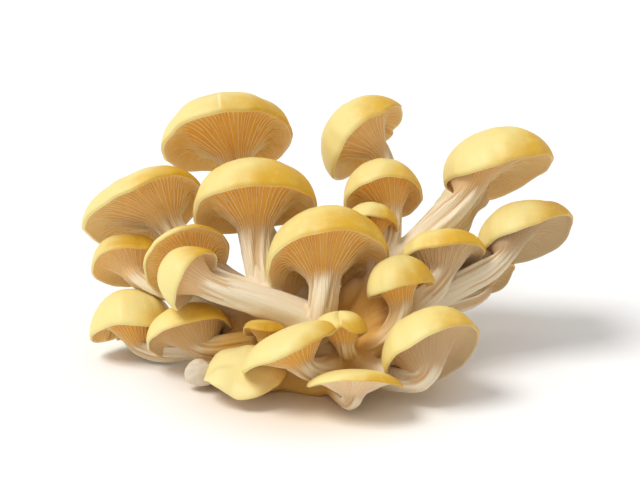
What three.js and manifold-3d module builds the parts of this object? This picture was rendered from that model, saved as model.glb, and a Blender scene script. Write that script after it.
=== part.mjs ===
// A cluster of golden oyster mushrooms: separate fruit bodies that rise from one shared, cut base.
// Millimetres, +Z up. The origin is the middle of the base's flat cut face, which stands on the table.
// +X runs along the cluster's width and +Y towards its back.
import * as THREE from 'three';
import { mergeVertices } from 'three/addons/utils/BufferGeometryUtils.js';
import Module from 'manifold-3d';

const wasm = await Module();
wasm.setup();

// Driving dimensions, in millimetres unless a comment says otherwise.
const clearGap = 0.35; // air left where one fruit body meets the base or a neighbour
const sharpestMitre = 0.35; // keeps the clearance from running off at a sharp edge
const fineness = 0.05; // detail smaller than this is smoothed away after a cut
const lipTuck = 0.04; // how far the margin turns in under the cap, as a share of its radius
const shoulder = 0.1; // height of the widest ring above the margin, as a share of the dome
const hollow = 0.42; // height of the gill chamber, as a share of the dome
const collarDrop = 0.2; // how far down the gills run before the stem proper, as a share of the radius
const collarSpread = 1.5; // radius where the gills reach the stem, as a multiple of the stem's
const straightOut = 0.35; // how far the stem runs straight out of the cap, as a share of the way to its bend
const archSkew = 0.8; // below 1 the gill chamber is highest nearer the margin
const flareSpread = 0.14; // how soon the stem's flare under the gills dies out, as a share of the stem
const domeFullness = 2.2; // 2 is an ellipse, more is squarer
const stemRows = 5;
const gillRows = 4;
const lipRows = 2;
const domeRows = 4;
const wideCap = 10; // caps over this radius get more sides
const sidesOfWideCap = 12;
const sidesOfSmallCap = 10;

// cap: middle of the margin. lean: tilt of the cap's axis from upright, towards the compass heading
// (0 is +X, 90 is +Y), in degrees. stemAt: where the stem meets the cap, in shares of the radius.
// stem: radius under the cap and at the foot. bend: the point that the stem curves towards.
// lobes and ripples: [waves round the margin, size, phase in degrees], of the radius and of the height.
// notches: [bearing and width in degrees, depth as a share of the radius]. sags: the same, but a drop.
const mushrooms = [
  {
    name: 'top_left', cap: [-33, 49.5, 72.5], lean: 43, heading: 102, radius: 26, dome: 16,
    lobes: [[2, 0.03, 200], [3, 0.02, 40]], ripples: [[2, 1, 160], [3, 0.8, 60]], sags: [[225, 35, 2]],
    stemAt: [0.1, 0.05], stem: [4.4, 4], bend: [-19.5, 37, 40], foot: [0, 4, 20],
  },
  {
    name: 'far_left', cap: [-63, 32, 50], lean: 51, heading: 116, radius: 23, dome: 12.5,
    lobes: [[2, 0.03, 30], [3, 0.02, 200]], ripples: [[2, 1.2, 20], [3, 0.6, 180]],
    stemAt: [0.25, 0], stem: [4.2, 4], bend: [-36.5, 18.5, 29], foot: [-6, 2, 18],
  },
  {
    name: 'centre_left', cap: [-21.5, 17, 55.5], lean: 40, heading: 99, radius: 23, dome: 17.5,
    lobes: [[2, 0.02, 90], [3, 0.02, 10]], ripples: [[2, 0.8, 200], [3, 0.6, 90]],
    stemAt: [0, 0.05], stem: [4.6, 4.8], bend: [-20, -2, 27], foot: [-7, -4, 14],
  },
  {
    name: 'centre', cap: [6, -2, 42], lean: 48, heading: 97, radius: 22, dome: 18.5,
    lobes: [[2, 0.02, 0], [3, 0.02, 150]], ripples: [[2, 1, 180]], sags: [[150, 38, 5]],
    stemAt: [-0.1, 0.05], stem: [5, 5.6], bend: [1.5, -13.5, 21], foot: [6, -6, 12],
  },
  {
    name: 'top_torn', cap: [21.5, 46, 73.5], lean: 59, heading: 141, radius: 18.5, dome: 16.5,
    lobes: [[2, 0.03, 60]], ripples: [[3, 0.8, 0]], notches: [[55, 20, 0.45]],
    stemAt: [0.05, 0.05], stem: [3.8, 4], bend: [32.5, 27.5, 43], foot: [12, 2, 20],
  },
  {
    name: 'upper_centre', cap: [26.5, 27.5, 56], lean: 50, heading: 100, radius: 15.5, dome: 15,
    lobes: [[2, 0.03, 180], [3, 0.02, 80]], ripples: [[2, 0.8, 150]],
    stemAt: [0.1, 0], stem: [3.6, 4], bend: [32.5, 14, 39.5], foot: [14, -2, 18],
  },
  {
    name: 'small_middle', cap: [21.5, 15, 50], lean: 41, heading: 79, radius: 10, dome: 8.5,
    lobes: [[3, 0.03, 0]], ripples: [[2, 0.6, 90]],
    stemAt: [0.1, 0], stem: [2.4, 2.8], bend: [28, 7.5, 39], foot: [15, -3, 20],
  },
  {
    name: 'upper_right', cap: [71, 34, 63.5], lean: 38, heading: 112, radius: 20.5, dome: 17.5,
    lobes: [[2, 0.03, 10], [3, 0.03, 120]], ripples: [[2, 1.2, 0], [3, 0.5, 200]],
    stemAt: [-0.55, 0], stem: [5, 5.2], bend: [38.5, 20, 45], foot: [16, 0, 18],
  },
  {
    name: 'back_right', cap: [57, 45, 47], lean: 36, heading: 205, radius: 12.5, dome: 8,
    lobes: [[3, 0.05, 40]], ripples: [[3, 1, 120]],
    stemAt: [0, 0], stem: [3, 3.4], bend: [45, 28, 35], foot: [20, 6, 14],
  },
  {
    name: 'far_right', cap: [80.5, 17.5, 43.4], lean: 47, heading: 118, radius: 18.5, dome: 15,
    lobes: [[2, 0.03, 0], [3, 0.02, 220]], ripples: [[2, 1, 20], [3, 0.5, 60]],
    stemAt: [-0.45, 0], stem: [4.4, 4], bend: [51.5, 6, 29.5], foot: [18, -3, 14],
  },
  {
    name: 'under_right', cap: [66, 24.5, 25.5], lean: 48, heading: 114, radius: 12, dome: 6.5,
    lobes: [[3, 0.04, 90]], ripples: [[3, 0.8, 20]], notches: [[210, 16, 0.3]],
    stemAt: [-0.2, 0], stem: [2.6, 2.8], bend: [50, 13.5, 20], foot: [18, 0, 12],
  },
  {
    name: 'right', cap: [47.5, 3.5, 40.5], lean: 45, heading: 100, radius: 15.5, dome: 10.5,
    lobes: [[2, 0.03, 20], [3, 0.02, 0]], ripples: [[2, 0.8, 10]],
    stemAt: [-0.1, 0.05], stem: [4.8, 4.6], bend: [40.5, -4.5, 28.5], foot: [17, -6, 15],
  },
  {
    name: 'small_right', cap: [32, -13, 35], lean: 29, heading: 116, radius: 12, dome: 12,
    lobes: [[2, 0.03, 0]], ripples: [[2, 0.6, 120]],
    stemAt: [-0.1, 0.05], stem: [3.8, 4], bend: [30, -19, 16.5], foot: [14, -9, 9],
  },
  {
    name: 'tiny_right', cap: [38, -15, 24.5], lean: 30, heading: 60, radius: 4.5, dome: 3,
    stemAt: [0, 0], stem: [1.8, 2.2], bend: [34.5, -13.5, 20], foot: [18, -8, 12],
  },
  {
    name: 'lower_right', cap: [42.5, -32.5, 17.5], lean: 56, heading: 115, radius: 17.5, dome: 16,
    lobes: [[2, 0.03, 40], [3, 0.02, 100]], ripples: [[2, 0.8, 60]],
    stemAt: [-0.2, 0.05], stem: [4.2, 4.4], bend: [33.5, -34.5, 6.5], foot: [12, -14, 8],
  },
  {
    name: 'front_small', cap: [15, -43, 11.5], lean: 23, heading: 90, radius: 16, dome: 5,
    lobes: [[2, 0.03, 0], [3, 0.03, 90]], ripples: [[2, 1, 180]],
    stemAt: [-0.05, 0], stem: [3.2, 3.4], bend: [12.5, -46, 3.5], foot: [6, -16, 5],
  },
  {
    name: 'front_long', cap: [-7, -33, 18], lean: 37, heading: 134, radius: 17.5, dome: 9,
    lobes: [[2, 0.05, 0], [3, 0.02, 30]], ripples: [[2, 1.2, 0]],
    stemAt: [0.1, -0.1], stem: [3.6, 4], bend: [6.5, -31.5, 10.5], foot: [10, -12, 9],
  },
  {
    name: 'front_folded', cap: [10.5, -25, 22.5], lean: 38, heading: 98, radius: 9.5, dome: 7.5,
    ripples: [[2, 0.8, 0]], sags: [[275, 14, -3.5]],
    stemAt: [0.1, 0], stem: [2.8, 3.2], bend: [14, -24, 14.5], foot: [12, -12, 10],
  },
  {
    name: 'front_flat', cap: [-23.5, -27.5, 9.5], lean: 15, heading: -106, radius: 14.5, dome: 4,
    lobes: [[2, 0.04, 60], [5, 0.03, 60]], ripples: [[3, 1.4, 60], [5, 0.6, 0]],
    stemAt: [0, 0], stem: [3.2, 3.6], bend: [-12, -23, 3.5], foot: [-4, -12, 5],
  },
  {
    name: 'floor_button', cap: [-40, -19, 5.5], lean: 48, heading: 262, radius: 5.2, dome: 6.5,
    stemAt: [0, 0], stem: [2.4, 2.6], bend: [-31.5, -16, 4], foot: [-14, -8, 4],
  },
  {
    name: 'low_left', cap: [-67, 9, 10], lean: 34, heading: 102, radius: 15.5, dome: 16,
    lobes: [[2, 0.02, 0], [4, 0.02, 0]], ripples: [[3, 0.8, 0]], notches: [[130, 12, 0.25]],
    stemAt: [0.15, 0], stem: [3.6, 3.8], bend: [-45, 3, 8], foot: [-12, -2, 8],
  },
  {
    name: 'low_left_front', cap: [-44.5, -5.5, 13.5], lean: 49, heading: 108, radius: 15.5, dome: 12,
    lobes: [[2, 0.03, 40]], ripples: [[2, 0.8, 20]],
    stemAt: [0.2, 0], stem: [4.2, 4.6], bend: [-22.5, -4, 16.5], foot: [-6, -6, 12],
  },
  {
    name: 'left_open', cap: [-46, 7.5, 39], lean: 72, heading: 110, radius: 16, dome: 8,
    lobes: [[2, 0.04, 60], [3, 0.02, 0]], ripples: [[2, 0.6, 0]],
    stemAt: [0.1, 0], stem: [3.8, 4.8], bend: [-26.5, 0.5, 31.5], foot: [-5, -2, 20],
  },
  {
    name: 'left_curled', cap: [-42, -10, 37.5], lean: 68, heading: 150, radius: 12, dome: 13,
    lobes: [[2, 0.04, 20]], ripples: [[2, 1, 180]],
    stemAt: [0.1, 0], stem: [4, 5.2], bend: [-23, -8.5, 32.5], foot: [-1, -7, 21],
  },
  {
    name: 'left_mid', cap: [-69, 20, 32.5], lean: 55, heading: 102, radius: 13.5, dome: 12,
    lobes: [[2, 0.03, 0], [3, 0.02, 60]], ripples: [[3, 0.6, 0]],
    stemAt: [0.15, 0], stem: [3.2, 3.4], bend: [-42, 13.5, 24], foot: [-8, 0, 14],
  },
  {
    name: 'inner_small', cap: [-17, -16.5, 18.5], lean: 32, heading: 80, radius: 8, dome: 4.5,
    lobes: [[3, 0.05, 0]], ripples: [[3, 0.6, 90]],
    stemAt: [0.1, 0], stem: [2.4, 2.8], bend: [-13, -15, 12], foot: [0, -8, 9],
  },
];

const base = {
  crown: [5, -2], // middle of the top; the middle of the cut face is the origin
  height: 25,
  footRadii: [24, 26],
  levels: [0, 0, 0.05, 0.25, 0.5, 0.72, 0.88, 0.97, 1], // shares of the height
  widths: [0, 0.94, 1, 0.94, 0.86, 0.74, 0.6, 0.34, 0], // shares of the foot's radii, one for each level
  folds: [[5, 0.05, 34], [3, 0.04, -57]], // waves round the base, size, phase in degrees
  sides: 24,
};

const radians = THREE.MathUtils.degToRad;

// The cap's axis and two directions across it, the first as near to +X as it can be.
function capFrame({ lean, heading }) {
  const axis = new THREE.Vector3().setFromSphericalCoords(1, radians(lean), radians(heading));
  axis.set(axis.z, axis.x, axis.y);
  const across = new THREE.Vector3(1, 0, 0).projectOnPlane(axis).normalize();
  return { axis, across, along: axis.clone().cross(across) };
}

// A start value plus cosine waves round a circle, each [waves, size, phase in degrees].
function waved(waves, angle, start) {
  return waves.reduce((sum, [count, size, phase]) =>
    sum + size * Math.cos(count * angle + radians(phase)), start);
}

// 1 at a bearing, falling to 0 over a width either side of it, both in degrees.
function near(angle, bearing, width) {
  const away = THREE.MathUtils.euclideanModulo(angle - radians(bearing) + Math.PI, 2 * Math.PI) - Math.PI;
  return Math.exp(-((away / radians(width)) ** 2));
}

// The margin's radius at an angle: a circle, flattened front to back, with lobes and notches.
function marginRadius({ radius, flatten = 1, lobes = [], notches = [] }, angle) {
  const ellipse = radius / Math.hypot(Math.cos(angle), Math.sin(angle) / flatten);
  const torn = notches.reduce((left, [bearing, width, depth]) =>
    left - depth * near(angle, bearing, width), 1);
  return ellipse * waved(lobes, angle, 1) * torn;
}

// How far the margin stands above its plane at an angle, from its ripples less its sags.
function marginRise({ ripples = [], sags = [] }, angle) {
  return sags.reduce((sum, [bearing, width, drop]) =>
    sum - drop * near(angle, bearing, width), waved(ripples, angle, 0));
}

// From the foot up the stem, out along the gills, round the lip and over the dome.
function profileRows() {
  const steps = (part, count) => Array.from({ length: count }, (_, i) => ({ part, share: i / count }));
  return [
    { part: 'sole' },
    ...steps('stem', stemRows),
    ...steps('gills', gillRows),
    ...steps('lip', lipRows),
    ...steps('dome', domeRows),
    { part: 'crown' },
  ];
}

// The stem's centre line: straight out of the cap, then round the bend and into the base.
function stemLine(spec, frame) {
  const { axis, across, along } = frame;
  const [over, back] = spec.stemAt;
  const start = new THREE.Vector3(...spec.cap)
    .addScaledVector(across, over * spec.radius)
    .addScaledVector(along, back * spec.radius)
    .addScaledVector(axis, -collarDrop * spec.radius);
  const bend = new THREE.Vector3(...spec.bend);
  const pull = start.clone().addScaledVector(axis, -straightOut * start.distanceTo(bend));
  return new THREE.CubicBezierCurve3(start, pull, bend, new THREE.Vector3(...spec.foot));
}

// The directions across the stem at each row, carried down from the cap without twist.
function stemFrames(line, frame) {
  let across = frame.across;
  return Array.from({ length: stemRows + 1 }, (_, i) => {
    const tangent = line.getTangent(i / stemRows).negate();
    across = across.clone().projectOnPlane(tangent).normalize();
    return { centre: line.getPoint(i / stemRows), across, along: tangent.clone().cross(across) };
  }).reverse();
}

function onRing({ centre, across, along }, radius, angle) {
  return centre.clone()
    .addScaledVector(across, radius * Math.cos(angle))
    .addScaledVector(along, radius * Math.sin(angle));
}

// One fruit body: a turned profile whose rings are then laid along the stem and spread over the cap.
function fruitBody(spec) {
  const rows = profileRows();
  const frame = capFrame(spec);
  const line = stemLine(spec, frame);
  const rings = stemFrames(line, frame);
  const [neck, foot] = spec.stem;
  const collar = neck * collarSpread;
  const cap = new THREE.Vector3(...spec.cap);
  const start = line.getPoint(0);
  const place = {
    sole: () => rings[0].centre,
    stem: ({ share }, angle) => {
      const down = 1 - share;
      const slim = THREE.MathUtils.lerp(neck, foot, down);
      const flare = (collar - neck) * Math.exp(-down / flareSpread);
      return onRing(rings[Math.round(share * stemRows)], slim + flare, angle);
    },
    gills: ({ share }, angle) => {
      const inward = 1 - share;
      const edge = (1 - lipTuck) * marginRadius(spec, angle);
      const radius = THREE.MathUtils.lerp(edge, collar, inward);
      const arch = hollow * spec.dome * Math.sin(Math.PI * inward ** archSkew);
      const drop = collarDrop * spec.radius * inward ** 3;
      const centre = cap.clone().lerp(start.clone().addScaledVector(frame.axis, drop), inward)
        .addScaledVector(frame.axis, arch - drop + marginRise(spec, angle) * share ** 2);
      return onRing({ ...frame, centre }, radius, angle);
    },
    lip: ({ share }, angle) => {
      const turn = share * Math.PI / 2;
      const radius = (1 - lipTuck * Math.cos(turn)) * marginRadius(spec, angle);
      const height = shoulder * spec.dome * (1 - Math.cos(turn)) + marginRise(spec, angle);
      const centre = cap.clone().addScaledVector(frame.axis, height);
      return onRing({ ...frame, centre }, radius, angle);
    },
    dome: ({ share }, angle) => {
      const reach = Math.cos(share * Math.PI / 2);
      const bulge = (1 - reach ** domeFullness) ** (1 / domeFullness);
      const rise = marginRise(spec, angle) * reach ** 2;
      const height = spec.dome * (shoulder + (1 - shoulder) * bulge) + rise;
      const centre = cap.clone().addScaledVector(frame.axis, height);
      return onRing({ ...frame, centre }, reach * marginRadius(spec, angle), angle);
    },
    crown: () => cap.clone().addScaledVector(frame.axis, spec.dome),
  };
  const sides = spec.radius > wideCap ? sidesOfWideCap : sidesOfSmallCap;
  const profile = rows.map((_, i) => new THREE.Vector2(i && i < rows.length - 1 ? 1 : 0, i));
  return placeRings(new THREE.LatheGeometry(profile, sides), rows, sides,
    (row, angle) => place[row.part](row, angle));
}

// Moves every vertex of a turned profile to where place(row, angle) puts it.
function placeRings(turned, rows, sides, place) {
  const position = turned.getAttribute('position');
  for (let side = 0; side <= sides; side += 1) {
    rows.forEach((row, i) => {
      const { x, y, z } = place(row, 2 * Math.PI * (side % sides) / sides);
      position.setXYZ(side * rows.length + i, x, y, z);
    });
  }
  return turned;
}

// The shared base: a flat cut face below, folded sides, and a crown that the stems leave from.
function cutBase({ crown, height, footRadii, levels, widths, folds, sides }) {
  const rows = levels.map((level, i) => ({ level, width: widths[i] }));
  const profile = rows.map(({ level, width }) => new THREE.Vector2(width, level));
  return placeRings(new THREE.LatheGeometry(profile, sides), rows, sides, ({ level, width }, angle) => {
    const folded = width * waved(folds, angle, 1);
    return new THREE.Vector3(
      crown[0] * level + footRadii[0] * folded * Math.cos(angle),
      crown[1] * level + footRadii[1] * folded * Math.sin(angle),
      height * level,
    );
  });
}

// A geometry's positions alone, merged where they meet.
function welded(geometry) {
  const bare = new THREE.BufferGeometry().setAttribute('position', geometry.getAttribute('position').clone());
  return mergeVertices(bare.setIndex(geometry.index), 1e-3);
}

// The same surface moved out by a distance, mitred at its edges so that every face clears it.
function grown(geometry, distance) {
  const merged = welded(geometry);
  const position = merged.getAttribute('position');
  const corner = (i) => new THREE.Vector3().fromBufferAttribute(position, i);
  const facesAt = Array.from({ length: position.count }, () => []);
  for (let i = 0; i < merged.index.count; i += 3) {
    const three = [0, 1, 2].map((k) => merged.index.getX(i + k));
    const face = new THREE.Triangle(...three.map(corner)).getNormal(new THREE.Vector3());
    three.forEach((v) => facesAt[v].push(face));
  }
  facesAt.forEach((faces, i) => {
    const way = faces.reduce((sum, face) => sum.add(face), new THREE.Vector3()).normalize();
    const leans = faces.filter((face) => face.lengthSq()).map((face) => face.dot(way));
    const mitre = Math.max(sharpestMitre, Math.min(...leans));
    const { x, y, z } = corner(i).addScaledVector(way, distance / mitre);
    position.setXYZ(i, x, y, z);
  });
  return merged;
}

function solidOf(geometry) {
  return new wasm.Manifold(new wasm.Mesh({
    numProp: 3,
    vertProperties: new Float32Array(geometry.getAttribute('position').array),
    triVerts: new Uint32Array(geometry.index.array),
  }));
}

function geometryOf(solid) {
  const { vertProperties, triVerts } = solid.getMesh();
  const geometry = new THREE.BufferGeometry()
    .setAttribute('position', new THREE.BufferAttribute(vertProperties, 3))
    .setIndex(new THREE.BufferAttribute(triVerts, 1));
  geometry.computeVertexNormals();
  return geometry;
}

function largestPiece(solid) {
  return solid.decompose().reduce((a, b) => (a.volume() > b.volume() ? a : b));
}

const flesh = new THREE.MeshStandardMaterial({ color: 0xf0cf7a, roughness: 0.55, metalness: 0 });
const baseFlesh = new THREE.MeshStandardMaterial({ color: 0xe9d5b0, roughness: 0.7, metalness: 0 });

const cluster = new THREE.Group();
const baseShape = cutBase(base);
const baseMesh = new THREE.Mesh(geometryOf(solidOf(welded(baseShape))), baseFlesh);
baseMesh.name = 'cut_base';
cluster.add(baseMesh);

// Each fruit body is cut clear of the base and of the ones before it.
const taken = [solidOf(grown(baseShape, clearGap))];
for (const spec of mushrooms) {
  const shape = fruitBody(spec);
  const trimmed = taken.reduce((left, other) => left.subtract(other), solidOf(welded(shape)));
  taken.push(solidOf(grown(shape, clearGap)));
  const mesh = new THREE.Mesh(geometryOf(largestPiece(trimmed).simplify(fineness)), flesh);
  mesh.name = `mushroom_${spec.name}`;
  cluster.add(mesh);
}

export default cluster;
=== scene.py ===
import bpy
import numpy as np
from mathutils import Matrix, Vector


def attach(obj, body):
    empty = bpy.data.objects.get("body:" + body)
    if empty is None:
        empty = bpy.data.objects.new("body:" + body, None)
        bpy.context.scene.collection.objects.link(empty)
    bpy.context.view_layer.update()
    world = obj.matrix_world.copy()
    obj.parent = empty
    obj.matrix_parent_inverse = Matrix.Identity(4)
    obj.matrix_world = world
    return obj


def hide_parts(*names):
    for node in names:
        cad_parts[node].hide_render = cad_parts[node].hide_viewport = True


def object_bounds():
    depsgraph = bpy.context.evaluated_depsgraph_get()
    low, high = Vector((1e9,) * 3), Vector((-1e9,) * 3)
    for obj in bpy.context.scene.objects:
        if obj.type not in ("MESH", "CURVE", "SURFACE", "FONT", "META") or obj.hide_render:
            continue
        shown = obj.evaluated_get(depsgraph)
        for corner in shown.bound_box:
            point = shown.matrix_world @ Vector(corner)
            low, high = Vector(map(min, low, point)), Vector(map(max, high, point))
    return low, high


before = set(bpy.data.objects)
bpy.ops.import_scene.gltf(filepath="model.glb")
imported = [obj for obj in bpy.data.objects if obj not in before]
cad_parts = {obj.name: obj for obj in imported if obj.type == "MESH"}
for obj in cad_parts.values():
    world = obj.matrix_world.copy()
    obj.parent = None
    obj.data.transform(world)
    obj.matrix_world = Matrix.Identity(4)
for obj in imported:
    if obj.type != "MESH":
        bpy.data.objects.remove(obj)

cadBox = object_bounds()
mm = 0.001
print("frame loaded:", len(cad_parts), "nodes")


def unit(v):  # each vector divided by its length
    return v / np.maximum(np.linalg.norm(v, axis=-1, keepdims=True), 1e-12)


def blend(a, b, share):  # a plus a share of the way to b
    return a + (b - a) * share


def smooth(low, high, x):  # 0 below low, 1 above high, and between them an S, three squares less two cubes
    t = np.clip((x - low) / (high - low), 0, 1)
    return t * t * (3 - 2 * t)


def waved(waves, angle, start=0.0):
    # start plus one cosine for each wave, given as (how many go round, size, phase in degrees)
    return start + sum(size * np.cos(count * angle + np.radians(phase)) for count, size, phase in waves)


def near(angle, bearing, width):  # a bell round a bearing: e to minus the square of widths away, in degrees
    away = (angle - np.radians(bearing) + np.pi) % (2 * np.pi) - np.pi
    return np.exp(-(away / np.radians(width)) ** 2)


fullTurn = 6.283  # radians


def lumps(rng, count, reach, x, y):
    # straight waves over x and y, each with its own direction, phase and length of about reach, added up
    # and scaled to lie mostly between -1 and 1
    total = np.zeros(np.broadcast(x, y).shape)
    for way, phase, longer in rng.uniform(0, 1, (count, 3)):
        length = reach * (0.7 + 0.9 * longer)
        forward = x * np.cos(fullTurn * way) + y * np.sin(fullTurn * way)
        total += np.cos(forward * fullTurn / length + fullTurn * phase)
    return total / count ** 0.5 / 1.6


def gridFaces(rows, columns):  # quads of a grid whose columns close round
    low = np.arange(rows - 1)[:, None] * columns
    now, after = np.arange(columns)[None], (np.arange(columns)[None] + 1) % columns
    return np.stack([low + now, low + after, low + after + columns, low + now + columns], -1).reshape(-1, 4)


def endFaces(rows, columns):  # two fans that close the first and last row on the two points after the grid
    now, after = np.arange(columns), (np.arange(columns) + 1) % columns
    last = (rows - 1) * columns
    lowFan = np.stack([after, now, np.full(columns, rows * columns)], -1)
    highFan = np.stack([now + last, after + last, np.full(columns, rows * columns + 1)], -1)
    return np.concatenate([lowFan, highFan])


def withEnds(values):  # a grid of values as a list, then the mean of its first row and of its last row
    rows, columns = values.shape[:2]
    flat = values.reshape(rows * columns, -1)
    ends = values[[0, -1]].reshape(2, columns, -1).mean(1)
    return np.concatenate([flat, ends]).reshape(-1, *values.shape[2:])


def makePiece(name, points, quads, fans):  # points in mm; quads and fans are rows of point numbers
    mesh = bpy.data.meshes.new(name)
    corners = np.concatenate([quads.ravel(), fans.ravel()]).astype(np.int32)
    sizes = np.concatenate([np.full(len(quads), 4), np.full(len(fans), 3)])
    mesh.vertices.add(len(points))
    mesh.vertices.foreach_set("co", (points * mm).astype(np.float32).ravel())
    mesh.loops.add(len(corners))
    mesh.loops.foreach_set("vertex_index", corners)
    mesh.polygons.add(len(sizes))
    mesh.polygons.foreach_set("loop_start", np.concatenate([[0], np.cumsum(sizes)[:-1]]).astype(np.int32))
    mesh.polygons.foreach_set("use_smooth", np.ones(len(sizes), bool))
    mesh.update(calc_edges=True)
    piece = bpy.data.objects.new(name, mesh)
    bpy.context.scene.collection.objects.link(piece)
    return piece


def setMarks(mesh, marks):  # values at the points, for the material to read
    for label, values in marks.items():
        isVector = values.ndim == 2
        layer = mesh.attributes.new(label, "FLOAT_VECTOR" if isVector else "FLOAT", "POINT")
        layer.data.foreach_set("vector" if isVector else "value", values.astype(np.float32).ravel())


def finishPiece(piece, node):  # the flesh on it, its body, and the node it stands for
    piece.data.materials.append(fleshLook)
    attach(piece, "root")
    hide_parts(node)


class Wire:  # a socket that takes part in sums: each operator adds one Math node
    def __init__(self, paint, socket):
        self.paint, self.socket = paint, socket

    def sum(self, operation, a, b):
        return self.paint.node("ShaderNodeMath", {"operation": operation}, {0: a, 1: b})

    def __add__(self, other):
        return self.sum("ADD", self, other)

    def __radd__(self, other):
        return self.sum("ADD", other, self)

    def __sub__(self, other):
        return self.sum("SUBTRACT", self, other)

    def __rsub__(self, other):
        return self.sum("SUBTRACT", other, self)

    def __mul__(self, other):
        return self.sum("MULTIPLY", self, other)

    def __rmul__(self, other):
        return self.sum("MULTIPLY", other, self)


class Paint:  # one material and the nodes in it
    def __init__(self, name):
        self.material = bpy.data.materials.new(name)
        self.material.use_nodes = True
        self.tree = self.material.node_tree
        self.tree.nodes.clear()

    def node(self, kind, settings=None, inputs=None, output=0):  # any node, settings first
        made = self.tree.nodes.new(kind)
        for key, value in (settings or {}).items():
            setattr(made, key, value)
        for key, value in (inputs or {}).items():
            if isinstance(value, Wire):
                self.tree.links.new(value.socket, made.inputs[key])
            else:
                made.inputs[key].default_value = value
        return Wire(self, made.outputs[output]) if len(made.outputs) else None

    def mark(self, label):  # a value stored at the piece's points
        return self.node("ShaderNodeAttribute", {"attribute_name": label}, output="Fac")

    def range(self, value, low, high, toLow=0.0, toHigh=1.0):  # toLow at low, toHigh at high, an S between
        return self.node("ShaderNodeMapRange", {"interpolation_type": "SMOOTHSTEP"}, {
            "Value": value, "From Min": low, "From Max": high, "To Min": toLow, "To Max": toHigh})

    def mix(self, share, a, b, how="MIX"):  # colours: a where the share is 0, b where it is 1
        return self.node("ShaderNodeMix", {"data_type": "RGBA", "blend_type": how},
                         {0: share, 6: a, 7: b}, output=2)

    def noise(self, place, scale, detail=3.0, roughness=0.55):  # soft lumps, 0 to 1
        return self.node("ShaderNodeTexNoise", {}, {
            "Vector": place, "Scale": scale, "Detail": detail, "Roughness": roughness}, output="Fac")

    def away(self, place, spot):  # how far a place is from a spot
        return self.node("ShaderNodeVectorMath", {"operation": "DISTANCE"},
                         {0: place, 1: spot}, output="Value")

    def stretched(self, place, stretch):  # a place scaled by a different amount on each axis
        return self.node("ShaderNodeMapping", {}, {"Vector": place, "Scale": stretch})


def tint(red, green, blue):
    # a screen's colour, 0 to 255, made linear: a twelfth or so when it is dark, else raised to the power 2.4
    shade = np.array([red, green, blue]) / 255
    linear = np.where(shade <= 0.04045, shade / 12.92, ((shade + 0.055) / 1.055) ** 2.4)
    return (*linear.tolist(), 1.0)


flesh = {
    "skinPale": tint(236, 218, 144), "skinGold": tint(236, 201, 92), "skinDeep": tint(216, 164, 26),
    "rimPale": tint(252, 240, 204), "pale": tint(238, 226, 206), "shade": tint(179, 162, 137),
    # valleyShade is painted shade: amber in the gaps between the gills
    "bladeCrest": tint(250, 222, 162), "valleyShade": tint(230, 170, 70),
    "collarGold": tint(244, 206, 130), "gillEdge": tint(246, 216, 150),
    # grooveShade is painted shade in the stem's grooves
    "stemPale": tint(240, 226, 198), "stemWarm": tint(226, 198, 150), "grooveShade": tint(210, 164, 100),
    # trunkAmberShade: the amber of the fused flesh, darkened as painted shade of the recesses between stems
    "trunkAmberShade": tint(222, 166, 58), "trunkPale": tint(238, 202, 128),
    "amberShadeSpots": [  # m: where the flesh is warm, how far the warmth reaches, and its full core
        ((0.02, -0.002, 0.014), 0.036, 0.018),
        ((-0.02, -0.008, 0.004), 0.034, 0.02),
        ((0.006, -0.024, 0), 0.03, 0.015),
        ((0.004, 0.016, 0), 0.032, 0.02),
    ],
    "cloudScale": 70.0, "speckScale": 320.0, "fineScale": 900.0,  # lumps in a metre
    "streakStretch": (26.0, 26.0, 1.6), "fibreStretch": (22.0, 22.0, 1.4),  # round the lay, and along it
    "skinRough": 0.46, "underRough": 0.62, "roughSpread": 0.16,
    "bumpStrength": 0.45, "bumpHeight": 0.25 * mm,
    "subsurface": 0.16, "subsurfaceReach": 2 * mm, "subsurfaceRadius": (1.0, 0.74, 0.36),
    "ior": 1.42, "gloss": 0.45,
}


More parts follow.
